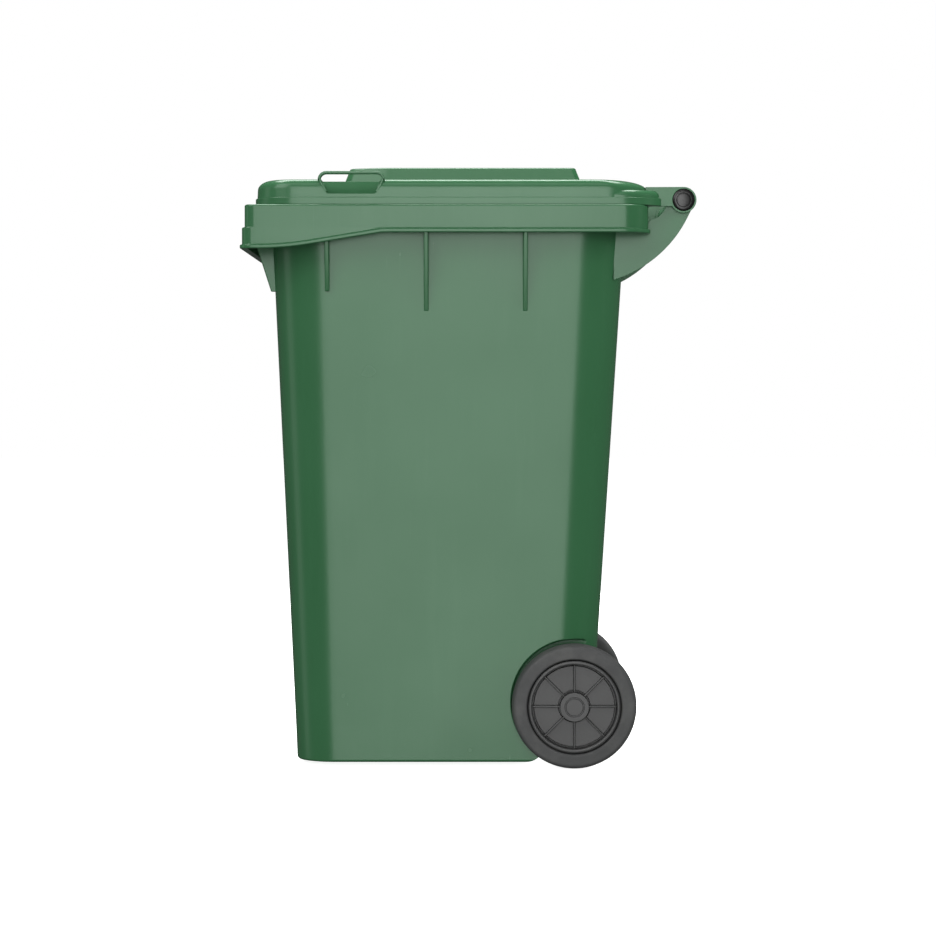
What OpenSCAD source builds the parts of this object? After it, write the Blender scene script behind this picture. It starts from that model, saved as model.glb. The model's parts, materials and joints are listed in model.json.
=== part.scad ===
// Two-wheeled refuse bin with a hinged lid, in millimetres.
// X is the width, Y runs from the front (-Y) to the back (+Y), Z is up and the ground is Z = 0.

/* [Tub] */
// Height of the rim's top face above the ground
rim_z = 1030.5; // [1000:0.5:1050]
// Half the tub's outside width at the rim
tub_half_w = 260; // [250:1:262]
// Half the tub's outside width at the base
base_half_w = 228; // [224:1:236]
// Front of the tub at the rim, as a distance in front of the origin
tub_front = 369; // [364:1:372]
// Back of the tub at the rim, as a distance behind the origin
tub_back = 289; // [284:1:291]
// Front of the tub at the base
base_front = 322; // [315:1:326]
// Back of the tub at the base
base_back = 224; // [218:1:226]
// Thickness of the moulded walls
wall = 4.5; // [4:0.5:5]

/* [Rim] */
// Half the outside width of the rim's skirt
rim_half_w = 296; // [292:1:298]
// Front face of the rim's skirt
rim_front = 410; // [406:1:412]
// Back face of the rim's skirt
rim_back = 326; // [322:1:328]
// Depth of the skirt at the sides and back
skirt_h = 51; // [44:1:56]
// Depth of the skirt at the front, where a lifting comb takes hold
comb_h = 80; // [70:1:84]

/* [Lid] */
// Height of the lid's raised middle panel
top_z = 1106.5; // [1096:0.5:1108]
// Half the lid's outside width
lid_half_w = 287; // [282:1:290]
// Thickness of the lid's walls
lid_wall = 4; // [3:0.5:4.5]
// Height of the hinge axis
hinge_z = 1042.2; // [1040:0.1:1046]
// Distance of the hinge axis behind the origin
hinge_y = 391.4; // [388:0.1:395]

/* [Wheels] */
// Radius of the tyre
tyre_r = 114.5; // [110:0.5:115]
// Distance of the axle behind the origin
axle_y = 191; // [184:0.5:194]
// Radius of the axle
axle_r = 11; // [10:0.5:12]
// Distance of each wheel's inner side from the middle of the bin
wheel_x = 225; // [222:1:228]
// Number of ribs on each side of a wheel's disc
wheel_ribs = 8; // [6:1:10]

/* [Hidden] */
$fn = 96;

body_green = [0.24, 0.50, 0.33];
wheel_grey = [0.25, 0.25, 0.25];
tyre_grey = [0.21, 0.21, 0.21];
cap_black = [0.10, 0.10, 0.10];
steel = [0.68, 0.70, 0.72];

eps = 1;
run = 0.1;               // radial clearance of a running fit
side = 8;                // thickness of ribs, gussets and brackets
bead = 4;                // how far the rim's lower bead stands out
bead_h = 7.5;
base_z = 7.5;            // lower edge of the tub's walls
floor_t = 6;
axle_z = tyre_r;
tub_front_r = 95;
tub_back_r = 85;
base_front_r = 72;
base_back_r = 70;

// wheel pocket and axle recess, cut out of the tub's lower back
pocket_r = tyre_r + 4;
pocket_x = 215;          // flank that the wheel runs beside
flank = 8;
recess_z = 168;
recess_r = 38;
heel_y = 102;            // where the tub's lower edge starts to curve up
heel_r = 37;

// hinge bracket and lid arm
bracket_x = 218;         // inner face of each bracket
arm_x = 228;             // inner face of each lid arm
arm_t = 12;
eye_r = 23.6;
pin_r = 10;
head_r = 20;
head_t = 4;
pin_start = 171;         // inner end of each pin

lid_z = rim_z + 0.3;     // underside of the lid's flange
flange_top = rim_z + 13.6;
dome_z = rim_z + 46.4;   // top of the lid's dome
lid_front = 394;
lid_back = 330;

// wheel, measured along the axle from the wheel's inner side
tyre_in = 2;
tyre_out = 54;
rim_r = 86;              // seat of the tyre
hub_r = 26.5;
hub_in = 4;
hub_out = 55;
cap_seat = 46;
cap_r = 18;
latch_at = 14;
latch_r = 3;
latch_head_r = 4.8;
latch_tip = 8.4;
latch_head = 17;
spring_low = 20;
spring_high = 33;
boss_top = 37;

// Points of a rounded rectangle, with one radius at the front corners and one at the back
function corner(x, y, r, from, n) =
    [for (i = [0 : n]) let (a = from + 90 * i / n) [x + r * cos(a), y + r * sin(a)]];
function rounded(half_w, front, back, front_r, back_r, n = 8) = concat(
    corner(half_w - back_r, back - back_r, back_r, 0, n),
    corner(back_r - half_w, back - back_r, back_r, 90, n),
    corner(front_r - half_w, front_r - front, front_r, 180, n),
    corner(half_w - front_r, front_r - front, front_r, 270, n));

module slab(z, h, points) {
    translate([0, 0, z]) linear_extrude(h) polygon(points);
}

// An outline drawn in Y and Z, and extruded along X from x by t
module plate(x, t) {
    translate([x, 0, 0]) rotate([90, 0, 90]) linear_extrude(t) children();
}

// An outline drawn in X and Z, and extruded along Y about y by t
module cross_plate(y, t) {
    translate([0, y + t / 2, 0]) rotate([90, 0, 0]) linear_extrude(t) children();
}

module both_sides() {
    children();
    mirror([1, 0, 0]) children();
}

module one_side(right) {
    if (right) children();
    else mirror([1, 0, 0]) children();
}

// ---- tub ----

tub_low = [base_half_w, base_front, base_back];
tub_high = [tub_half_w, tub_front, tub_back];
function tub_at(z) = let (t = (z - base_z) / (rim_z - base_z)) tub_low * (1 - t) + tub_high * t;

function tub_outline(z, inset) = let (
    t = (z - base_z) / (rim_z - base_z),
    s = tub_at(z),
    front_r = base_front_r * (1 - t) + tub_front_r * t - inset,
    back_r = base_back_r * (1 - t) + tub_back_r * t - inset
) rounded(s[0] - inset, s[1] - inset, s[2] - inset, front_r, back_r);

edge = 3;                // chamfer along the tub's lower edge

module tub_outside() {
    hull() {
        slab(base_z, 0.01, tub_outline(base_z, edge));
        slab(base_z + edge, 0.01, tub_outline(base_z + edge, 0));
        slab(rim_z - 0.01, 0.01, tub_outline(rim_z, 0));
    }
}

module tub_inside() {
    hull() {
        slab(base_z + floor_t, 0.01, tub_outline(base_z + floor_t, wall + edge));
        slab(base_z + floor_t + edge, 0.01, tub_outline(base_z + floor_t + edge, wall));
        slab(rim_z + eps, 0.01, tub_outline(rim_z, wall));
    }
}

// Space for one wheel, grown by more for the wall round it
module wheel_pocket(more) {
    translate([pocket_x - (more > 0 ? flank : 0), axle_y, axle_z])
        rotate([0, 90, 0]) cylinder(h = 90, r = pocket_r + more);
}

module recess_outline(more) {
    y = heel_y + heel_r - more;
    z = recess_z + more;
    r = recess_r + more;
    difference() {
        translate([y, -20]) square([200, z + 20]);
        difference() {
            translate([y - eps, z - r]) square([r + eps, r + eps]);
            translate([y + r, z - r]) circle(r);
        }
    }
}

// The round under the tub's back edge, over its full width
module heel(more) {
    plate(-300, 600) difference() {
        translate([heel_y, -20]) square([heel_r + 20, 20 + base_z + heel_r]);
        translate([heel_y, base_z + heel_r]) circle(heel_r - more);
    }
}

// Space for the axle between the two wheel pockets
module axle_recess(more) {
    half = pocket_x - flank + more;
    plate(-half, 2 * half) recess_outline(more);
}

module axle_hang(x, t) {
    plate(x, t) difference() {
        union() {
            translate([axle_y, axle_z]) circle(20);
            translate([axle_y - 20, axle_z]) square([40, recess_z + 2 - axle_z]);
        }
        translate([axle_y, axle_z]) circle(axle_r + run);
    }
}

slope_y = -160;          // where the skirt's lower edge starts to fall
blend_y = -290;          // where that fall starts to level out
level_y = -385;
fall = (comb_h - skirt_h) / ((slope_y - blend_y) + (blend_y - level_y) / 2);
function skirt_low(y) = y >= slope_y ? rim_z - skirt_h
    : y >= blend_y ? rim_z - skirt_h - fall * (slope_y - y)
    : y >= level_y ? rim_z - comb_h + fall * pow(y - level_y, 2) / (2 * (blend_y - level_y))
    : rim_z - comb_h;
skirt_ys = concat([440, slope_y], [for (i = [0 : 6]) blend_y + (level_y - blend_y) * i / 6], [-440]);

// Everything above the skirt's lower edge, up to h over it
module skirt_band(h) {
    plate(-320, 640) polygon(concat(
        [for (y = skirt_ys) [y, skirt_low(y)]],
        [for (i = [len(skirt_ys) - 1 : -1 : 0]) [skirt_ys[i], min(skirt_low(skirt_ys[i]) + h, rim_z)]]));
}

skirt_t = 4;
rim_front_r = 18;
rim_back_r = 46;
step_out = 5;            // the front of the skirt steps forward here
step_z = rim_z - 42;
function rim_outline(out, forward) = rounded(rim_half_w + out, rim_front + out + forward,
    rim_back + out, rim_front_r + max(out, -skirt_t), rim_back_r + out);

module rim() {
    ledge = 5;
    slab(rim_z - ledge, ledge, rim_outline(0, 0));
    difference() {
        intersection() {
            union() {
                slab(rim_z - comb_h, comb_h, rim_outline(0, 0));
                slab(rim_z - comb_h, step_z - rim_z + comb_h, rim_outline(0, step_out));
            }
            skirt_band(comb_h);
        }
        slab(rim_z - comb_h - eps, comb_h - ledge + eps, rim_outline(-skirt_t, 0));
    }
    difference() {
        intersection() {
            slab(rim_z - comb_h - eps, comb_h, rim_outline(bead, step_out));
            skirt_band(bead_h);
        }
        slab(rim_z - comb_h - eps, comb_h, rim_outline(-skirt_t, 0));
    }
}

rib_ys = [-261, -80, 101];
rib_low = rim_z - 192;   // foot of the long ribs under the rim
module side_ribs() {
    wall_in = tub_at(rim_z)[0] - wall - 1;
    for (i = [0 : 2]) {
        low = i == 0 ? rim_z - 156 : rib_low;
        foot = tub_at(low)[0] - 1;
        both_sides() cross_plate(rib_ys[i], side) polygon([
            [foot, low], [foot + (i == 0 ? 8 : 1.5), low],
            [rim_half_w - skirt_t + 0.5, rim_z - skirt_h - 2],
            [rim_half_w - skirt_t + 0.5, rim_z - 3], [wall_in, rim_z - 3]]);
    }
    back_low = rim_z - 122;
    for (x = [-92, 0, 92])
        plate(x - side / 2, side) polygon([
            [tub_at(back_low)[2] - 1, back_low], [tub_at(back_low)[2] + 1.5, back_low],
            [rim_back - skirt_t + 0.5, rim_z - skirt_h + 2],
            [rim_back - skirt_t + 0.5, rim_z - 3], [tub_at(rim_z)[2] - wall - 1, rim_z - 3]]);
}

comb_xs = [-175, -87.5, 0, 87.5, 175];
module comb_ribs() {
    skirt_y = -rim_front + skirt_t - 0.5;
    for (x = comb_xs) {
        long = abs(x) > 150;
        low = rim_z - (long ? 154 : 119);
        plate(x - side / 2, side) polygon([
            [-tub_front + wall + 1, rim_z - 3], [skirt_y, rim_z - 3], [skirt_y, rim_z - 52],
            [-395, rim_z - 73], [-tub_at(low)[1] - (long ? 7 : 2), low], [-tub_at(low)[1] + 1, low]]);
    }
}

arch_r = 221.5;          // sweep of the bracket's lower edge
notch_r = 36;            // room for the lid's back edge to swing
bracket_foot = 264;
module bracket_outline() {
    difference() {
        union() {
            intersection() {
                translate([hinge_y - 190.5, hinge_z + 66.5]) circle(arch_r);
                translate([bracket_foot, rim_z - 150]) square([170, hinge_z - rim_z + 150]);
            }
            translate([hinge_y, hinge_z]) circle(eye_r - 1.5);
        }
        translate([rim_back, hinge_z]) circle(notch_r);
        translate([240, rim_z - 2]) square([rim_back - 240, 60]);
    }
}

module brackets() {
    both_sides() difference() {
        plate(bracket_x, side) bracket_outline();
        translate([bracket_x - eps, hinge_y, hinge_z]) rotate([0, 90, 0])
            cylinder(h = side + 2 * eps, r = pin_r + run);
    }
}

module foot_ring() {
    difference() {
        slab(0, base_z + 2, rounded(160, 288, 96, 40, 40));
        slab(-eps, base_z + 4, rounded(142, 270, 78, 24, 24));
    }
}

module tub() {
    color(body_green) {
        difference() {
            union() {
                tub_outside();
                rim();
                side_ribs();
                comb_ribs();
                brackets();
            }
            difference() {
                tub_inside();
                both_sides() wheel_pocket(wall);
                axle_recess(wall);
                heel(wall);
            }
            both_sides() wheel_pocket(0);
            axle_recess(0);
            heel(0);
            translate([-250, axle_y, axle_z]) rotate([0, 90, 0]) cylinder(h = 500, r = axle_r + run);
        }
        both_sides() {
            axle_hang(128, side);
            axle_hang(44, side);
        }
        foot_ring();
    }
}

module handle_bar() {
    length = 2 * (bracket_x - 0.1);
    color(body_green) translate([-length / 2, hinge_y, hinge_z]) rotate([0, 90, 0]) difference() {
        cylinder(h = length, r = 17);
        translate([0, 0, -eps]) cylinder(h = length + 2 * eps, r = pin_r + 0.02);
    }
}

// ---- lid ----

flange_back_r = 80;
lobe_back = 357;         // the lid's back corners reach back to the hinge arms
function lid_outline(inset, back) = rounded(lid_half_w - inset, lid_front - inset, back - inset,
    42 - inset, flange_back_r - inset, 6);

module lid_plan(z, h, inset) {
    slab(z, h, lid_outline(inset, lid_back + 27));
}

// Removes what lies behind the lid's back edge, between the two back corners
module back_notch(inset) {
    half = arm_x + 0.5 + inset;
    translate([-half, lid_back - inset, rim_z - 20]) cube([2 * half, 60, 100]);
}

dome_in = 3;             // the dome's wall stands in from the flange by this much
dome_round = 25;         // rounding of the dome's front, sides and back, in plan
side_round = 11;
back_round = 55;
dome_rise = 17;
function dome_outline(inset) = rounded(lid_half_w - dome_in - inset, lid_front - dome_in - inset,
    lid_back - 3 - inset, max(42 - dome_in - inset, 6), max(68 - inset, 20));

// A section whose two upper corners are rounded off, from a to b and up to high
function crown(a, b, low, high, round_a, round_b) = concat(
    [[a, low]],
    [for (i = [0 : 6]) [a + round_a * (1 - cos(15 * i)), high - dome_rise * (1 - sin(15 * i))]],
    [for (i = [6 : -1 : 0]) [b - round_b * (1 - cos(15 * i)), high - dome_rise * (1 - sin(15 * i))]],
    [[b, low]]);

// The lid's dome, or its hollow when inset is the wall's thickness
module dome(inset) {
    low = inset > 0 ? lid_z - eps : flange_top - 4;
    half = lid_half_w - dome_in - inset + 0.7;
    intersection() {
        slab(low, 60, dome_outline(inset));
        plate(-300, 600) polygon(crown(dome_in + inset - lid_front - 0.7, lid_back - 2.3 - inset,
            low - eps, dome_z - inset, dome_round, back_round));
        cross_plate(0, 900) polygon(crown(-half, half, low - eps, dome_z - inset,
            side_round, side_round));
    }
}

panel_w = 183;
panel_front = 234;
panel_back = 206;
panel_taper_y = -150;    // the panel's sides turn inwards in front of this
panel_slope = 12;

// The raised middle panel, or its hollow
module panel(inset) {
    low = dome_z - 8 - inset;
    high = top_z - inset;
    w = panel_w - inset;
    front = panel_front - inset;
    intersection() {
        cross_plate(0, 900) polygon([
            [-w, low], [-w + panel_slope, high - 3], [-w + panel_slope + 4, high],
            [w - panel_slope - 4, high], [w - panel_slope, high - 3], [w, low]]);
        plate(-300, 600) polygon([
            [-front, low - eps], [-front + panel_slope, high - 3], [-front + panel_slope + 4, high],
            [panel_back - inset - panel_slope - 3, high], [panel_back - inset - panel_slope, high - 3],
            [panel_back - inset, low - eps]]);
        slab(low - eps, high - low + 2, [
            [w + 1, panel_back + 1], [-w - 1, panel_back + 1], [-w - 1, panel_taper_y],
            [-w + 20, -front + 14], [-w + 36, -front - 1], [w - 36, -front - 1],
            [w - 20, -front + 14], [w + 1, panel_taper_y]]);
    }
}

lobe_z = rim_z + 28;
module lobes(inset) {
    difference() {
        slab(lid_z, lobe_z - lid_z - inset, lid_outline(dome_in + 0.6 + inset, lobe_back));
        translate([-300, -450, 0]) cube([600, 450 + 262 + inset, 1200]);
        back_notch(inset);
    }
}

scoop_in = 224;          // how far the grip's recess reaches into the lid
scoop_low = rim_z + 20;
module scoop(more) {
    plate(scoop_in - more, 80) polygon([
        [-280 - more, dome_z + 30], [-280 - more, dome_z + 1], [-263 - more, scoop_low + 3 - more],
        [-258 - more, scoop_low - more], [-174 + more, scoop_low - more],
        [-169 + more, scoop_low + 3 - more], [-152 + more, dome_z + 1], [-152 + more, dome_z + 30]]);
}

strap_t = 4;
strap_w = 25;
module strap_outline(inset) {
    r = 17 - inset;
    low = scoop_low + 9;
    for (y = [-277 + 17, -155 - 17]) translate([y, rim_z + 61 - 17]) circle(r);
    translate([-277 + 17, low]) square([122 - 34, rim_z + 61 - inset - low]);
    translate([-277 + inset, low]) square([122 - 2 * inset, rim_z + 61 - 17 - low]);
}

// Carrying strap that bridges each grip recess
module strap() {
    plate(lid_half_w - dome_in - 0.6 - strap_w, strap_w) difference() {
        strap_outline(0);
        translate([0, -eps]) strap_outline(strap_t);
        translate([-300, scoop_low]) square([200, 15]);
    }
}

module arm() {
    difference() {
        plate(arm_x, arm_t) {
            translate([hinge_y, hinge_z]) circle(eye_r);
            translate([322, lid_z]) square([hinge_y - 322, hinge_z + eye_r - 0.3 - lid_z]);
        }
        translate([arm_x - eps, hinge_y, hinge_z]) rotate([0, 90, 0]) {
            cylinder(h = arm_t + 2 * eps, r = pin_r + run);
            translate([0, 0, arm_t - head_t + eps]) cylinder(h = head_t + eps, r = head_r + 0.6);
        }
    }
}

module lid_outside() {
    difference() {
        lid_plan(lid_z, flange_top - lid_z, 0);
        back_notch(0);
    }
    lobes(0);
    dome(0);
    panel(0);
}

module lid() {
    color(body_green) {
        difference() {
            union() {
                difference() {
                    lid_outside();
                    dome(lid_wall);
                    panel(lid_wall);
                    translate([0, 0, -eps]) lobes(lid_wall + 2);
                }
                intersection() {
                    dome(1);
                    both_sides() scoop(lid_wall);
                }
            }
            both_sides() scoop(0);
        }
        both_sides() {
            strap();
            arm();
        }
    }
}

// ---- hinge pins ----

module hinge_pin(right) {
    color(cap_black) one_side(right) translate([0, hinge_y, hinge_z]) rotate([0, 90, 0]) {
        seat = arm_x + arm_t - head_t + 0.2 + eps;
        difference() {
            union() {
                translate([0, 0, pin_start]) cylinder(h = seat - pin_start, r = pin_r);
                translate([0, 0, seat]) cylinder(h = 2.4, r = head_r);
                translate([0, 0, seat + 2.4]) cylinder(h = 1.6, r1 = head_r, r2 = head_r - 2.5);
            }
            translate([0, 0, seat + 2]) cylinder(h = 4, r = 13.5);
            translate([0, 0, pin_start - eps]) cylinder(h = 30, r = 6.5);
        }
    }
}

module hinge_cap(right) {
    color(cap_black) one_side(right) translate([arm_x + arm_t - head_t + 3.2, hinge_y, hinge_z])
        rotate([0, 90, 0]) {
            cylinder(h = 2, r = 13.4);
            translate([0, 0, 2]) cylinder(h = 1.4, r1 = 13.4, r2 = 10.5);
        }
}

// ---- axle and wheels ----

// Draws its children about the axle, with Z running outwards from the wheel's inner side
module at_wheel(right) {
    one_side(right) translate([wheel_x, axle_y, axle_z]) rotate([0, 90, 0]) rotate([0, 0, 180])
        children();
}

module axle() {
    half = wheel_x + cap_seat - 2;
    groove = 4;
    color(steel) translate([0, axle_y, axle_z]) rotate([0, 90, 0]) difference() {
        translate([0, 0, -half]) cylinder(h = 2 * half, r = axle_r);
        for (s = [-1, 1]) {
            translate([0, 0, s * (wheel_x + latch_at) - groove]) difference() {
                cylinder(h = 2 * groove, r = axle_r + eps);
                translate([0, 0, -eps]) cylinder(h = 2 * groove + 2 * eps, r = 8);
            }
        }
        for (s = [0, 1]) mirror([0, 0, s]) translate([0, 0, half - 2]) difference() {
            cylinder(h = 2 + eps, r = axle_r + eps);
            cylinder(h = 2.01, r1 = axle_r, r2 = axle_r - 2);
        }
    }
}

module axle_sleeve(right) {
    start = pocket_x + 0.3;
    color(wheel_grey) one_side(right) translate([start, axle_y, axle_z]) rotate([0, 90, 0])
        difference() {
            cylinder(h = wheel_x + hub_in - 0.3 - start, r = 16);
            translate([0, 0, -eps]) cylinder(h = 40, r = axle_r + run);
        }
}

// Half-section of the wheel's disc and rim: radius, then distance along the axle
web_t = 4;
function web_face(r) = 31 + 9 * pow(max(0, 1 - (r - hub_r) / 24), 2);
web_rs = [for (i = [0 : 8]) hub_r - 1 + i * 3.2];
module wheel_section() {
    polygon(concat(
        [for (r = web_rs) [r, web_face(r)]], [[77, 31], [77, 50], [82, 50.5], [rim_r, 48.5],
        [rim_r, 44], [rim_r - 3, 42], [rim_r - 3, 14], [rim_r, 12], [rim_r, 7.5], [rim_r - 4, 6],
        [78, 6], [77, 8], [77, 31 - web_t]],
        [for (i = [len(web_rs) - 1 : -1 : 0]) [web_rs[i], web_face(web_rs[i]) - web_t]]));
}

module wheel_rib() {
    t = 3.8;
    translate([0, t / 2, 0]) rotate([90, 0, 0]) linear_extrude(t) polygon([
        [hub_r - 2, 16], [hub_r - 2, 46], [78, 43], [78, 12], [60, 16]]);
}

module wheel(right) {
    color(wheel_grey) at_wheel(right) difference() {
        union() {
            rotate_extrude() wheel_section();
            translate([0, 0, hub_in]) cylinder(h = hub_out - hub_in - 1.5, r = hub_r);
            translate([0, 0, hub_out - 1.5]) cylinder(h = 1.5, r1 = hub_r, r2 = hub_r - 1.5);
            for (i = [0 : wheel_ribs - 1]) rotate([0, 0, i * 360 / wheel_ribs]) wheel_rib();
            translate([0, 0, latch_at]) rotate([0, 90, 0]) cylinder(h = boss_top, r = 9);
        }
        translate([0, 0, -eps]) cylinder(h = cap_seat + 2 * eps, r = axle_r + run);
        translate([0, 0, cap_seat]) cylinder(h = 20, r = cap_r);
        translate([0, 0, latch_at]) rotate([0, 90, 0]) {
            cylinder(h = latch_head, r = latch_r + run);
            translate([0, 0, latch_head - 0.5]) cylinder(h = 40, r = latch_head_r + run);
        }
    }
}

// Half-section of the tyre, crowned across its tread
module tyre_section() {
    mid = (tyre_in + tyre_out) / 2;
    half = (tyre_out - tyre_in) / 2;
    crown = [for (i = [-8 : 8]) let (a = i * 11.25)
        [tyre_r - 13 + 13 * pow(cos(a), 0.55), mid + half * sin(a)]];
    polygon(concat([[rim_r + 1.5, tyre_in + 1.5]], crown, [[rim_r + 1.5, tyre_out - 1.5],
        [rim_r, 48.5], [rim_r, 44], [rim_r - 3, 42], [rim_r - 3, 14], [rim_r, 12], [rim_r, 7.5]]));
}

module tyre(right) {
    color(tyre_grey) at_wheel(right) rotate_extrude() tyre_section();
}

module hub_cap(right) {
    color(wheel_grey) at_wheel(right) translate([0, 0, cap_seat]) difference() {
        union() {
            cylinder(h = 8, r = cap_r);
            translate([0, 0, 8]) cylinder(h = 1.2, r1 = cap_r - 0.4, r2 = cap_r - 1.6);
        }
        translate([0, 0, -eps]) cylinder(h = 6, r = cap_r - 3);
    }
}

module latch_pin(right) {
    color(steel) at_wheel(right) translate([0, 0, latch_at]) rotate([0, 90, 0]) {
        translate([0, 0, latch_tip]) cylinder(h = latch_head - latch_tip + 0.1, r = latch_r);
        translate([0, 0, latch_head]) cylinder(h = spring_low - latch_head, r = latch_head_r);
    }
}

// Compression spring, swept as a ring of sides along a helix
wire_r = 0.55;
coil_r = 3.8;
turns = 5;
wire_sides = 8;
rings = 70;
function wire_point(i, j) = let (
    t = i / (rings - 1),
    a = 360 * turns * t,
    r = coil_r + wire_r * cos(360 * j / wire_sides),
    low = spring_low + wire_r + 0.05,
    high = spring_high - wire_r - 0.05
) [r * cos(a), r * sin(a), low + (high - low) * t + wire_r * sin(360 * j / wire_sides)];

module coil() {
    last = (rings - 1) * wire_sides;
    polyhedron(
        [for (i = [0 : rings - 1]) for (j = [0 : wire_sides - 1]) wire_point(i, j)],
        concat(
            [for (i = [0 : rings - 2]) for (j = [0 : wire_sides - 1])
                let (a = i * wire_sides, b = a + wire_sides, k = (j + 1) % wire_sides)
                [a + j, a + k, b + k, b + j]],
            [[for (j = [wire_sides - 1 : -1 : 0]) j], [for (j = [0 : wire_sides - 1]) last + j]]));
}

module latch_spring(right) {
    color(steel) at_wheel(right) translate([0, 0, latch_at]) rotate([0, 90, 0]) coil();
}

module latch_plug(right) {
    color(wheel_grey) at_wheel(right) translate([0, 0, latch_at]) rotate([0, 90, 0]) {
        translate([0, 0, spring_high]) cylinder(h = boss_top - spring_high, r = latch_head_r + run);
        translate([0, 0, boss_top]) cylinder(h = 2, r = 7.5);
    }
}

tub();
handle_bar();
lid();
hinge_pin(true);  // hinge_pin_right
hinge_pin(false);  // hinge_pin_left
hinge_cap(true);  // hinge_cap_right
hinge_cap(false);  // hinge_cap_left
axle();
axle_sleeve(true);  // axle_sleeve_right
axle_sleeve(false);  // axle_sleeve_left
wheel(true);  // wheel_right
wheel(false);  // wheel_left
tyre(true);  // tyre_right
tyre(false);  // tyre_left
hub_cap(true);  // hub_cap_right
hub_cap(false);  // hub_cap_left
latch_pin(true);  // latch_pin_right
latch_pin(false);  // latch_pin_left
latch_spring(true);  // latch_spring_right
latch_spring(false);  // latch_spring_left
latch_plug(true);  // latch_plug_right
latch_plug(false);  // latch_plug_left
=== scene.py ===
"""A two-wheeled refuse bin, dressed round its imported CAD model.

Lengths in the named values are millimetres, and meshes, lights and the camera are in metres.
"""
import json
import math

import bmesh
import bpy
from mathutils import Matrix, Vector


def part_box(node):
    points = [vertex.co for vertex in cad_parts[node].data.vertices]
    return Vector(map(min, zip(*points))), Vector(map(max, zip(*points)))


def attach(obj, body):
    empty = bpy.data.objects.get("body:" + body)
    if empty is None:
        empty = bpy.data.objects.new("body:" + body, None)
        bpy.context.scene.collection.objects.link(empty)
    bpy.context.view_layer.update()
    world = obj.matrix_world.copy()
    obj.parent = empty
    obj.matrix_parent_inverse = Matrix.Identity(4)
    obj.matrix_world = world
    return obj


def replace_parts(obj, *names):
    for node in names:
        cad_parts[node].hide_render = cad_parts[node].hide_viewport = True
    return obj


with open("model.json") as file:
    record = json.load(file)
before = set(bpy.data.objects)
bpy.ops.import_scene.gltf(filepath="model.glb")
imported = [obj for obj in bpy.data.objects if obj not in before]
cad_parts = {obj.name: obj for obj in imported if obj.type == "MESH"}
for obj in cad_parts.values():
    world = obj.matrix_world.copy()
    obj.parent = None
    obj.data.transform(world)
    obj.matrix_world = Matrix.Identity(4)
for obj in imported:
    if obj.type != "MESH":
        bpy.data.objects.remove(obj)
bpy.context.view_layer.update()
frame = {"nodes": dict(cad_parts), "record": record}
MM = 0.001

# ---- places taken from the frame, in millimetres ----


def box_mm(node):
    low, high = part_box(node)
    return Vector(low) / MM, Vector(high) / MM


tub_low, tub_high = box_mm("tub")
lid_low, lid_high = box_mm("lid")
bar_low, bar_high = box_mm("handle_bar")
axle_low, axle_high = box_mm("axle")
wheel_low = box_mm("wheel_right")[0]
tyre_low, tyre_high = box_mm("tyre_right")
pin_low = box_mm("hinge_pin_right")[0]

hinge_y = (bar_low.y + bar_high.y) / 2
hinge_z = (bar_low.z + bar_high.z) / 2
axle_y = (axle_low.y + axle_high.y) / 2
axle_z = (axle_low.z + axle_high.z) / 2
HINGE, AXLE = (hinge_y, hinge_z), (axle_y, axle_z)
tyre_r = (tyre_high.z - tyre_low.z) / 2

SIDES = ("right", "left")
# how far the cutting shapes run past what they cut
far_x, far_back, underground = 320, 420, -20

# ---- tub ----

bead = 4                          # how far the rim's lower bead stands out
bead_h = 7.5
step_out = 5                      # the front of the skirt steps forward below step_z
rim_half_w = tub_high.x - bead
rim_front = -tub_low.y - bead - step_out
rim_back = rim_front - 84
rim_z = 1030.5
comb_h = 80                       # depth of the skirt at the front
skirt_h = 51                      # and at the sides and back
skirt_t = 4
step_z = rim_z - 42
wall = 4.5
base_z = 7.5                      # lower edge of the tub's walls
floor_t = 6
axle_bore = 11.1                  # radius of the bores that the axle runs in
pin_bore = 10.1                   # and of those that the hinge pins run in
# the skirt's lower edge falls from slope_y, and is level again in front of level_y
slope_y, blend_y, level_y = -160, -290, -385

# the tub's outline at its lower edge and at the rim
LOW = {"half_w": 228, "front": 322, "back": 224, "front_r": 72, "back_r": 70}
HIGH = {"half_w": 260, "front": 369, "back": 289, "front_r": 95, "back_r": 85}

# points along each corner, side and end of a lofted outline
CORNER_N = 14
SIDE_N = 46
END_N = 18


def rounded(half_w, front, back, front_r, back_r):
    """Points of a rounded rectangle, always the same count, so that outlines can be lofted."""
    centres = [(half_w - back_r, back - back_r, back_r, 0),
               (back_r - half_w, back - back_r, back_r, 90),
               (front_r - half_w, front_r - front, front_r, 180),
               (half_w - front_r, front_r - front, front_r, 270)]
    points = []
    for k, (x, y, r, start) in enumerate(centres):
        for i in range(CORNER_N + 1):
            a = math.radians(start + 90 * i / CORNER_N)
            points.append((x + r * math.cos(a), y + r * math.sin(a)))
        nx, ny, nr, nstart = centres[(k + 1) % 4]
        b = math.radians(nstart)
        ax, ay = points[-1]
        bx, by = nx + nr * math.cos(b), ny + nr * math.sin(b)
        n = END_N if k % 2 == 0 else SIDE_N
        for i in range(1, n):
            t = i / n
            points.append((ax + (bx - ax) * t, ay + (by - ay) * t))
    return points


def skirt_low(y):
    """Height of the skirt's lower edge."""
    fall = (comb_h - skirt_h) / ((slope_y - blend_y) + (blend_y - level_y) / 2)
    if y >= slope_y:
        return rim_z - skirt_h
    if y >= blend_y:
        return rim_z - skirt_h - fall * (slope_y - y)
    if y >= level_y:
        return rim_z - comb_h + fall * (y - level_y) ** 2 / (2 * (blend_y - level_y))
    return rim_z - comb_h


def tub_at(z):
    """Measures of the tub's outline at a height."""
    t = (z - base_z) / (rim_z - base_z)
    return {k: LOW[k] * (1 - t) + HIGH[k] * t for k in LOW}


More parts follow.
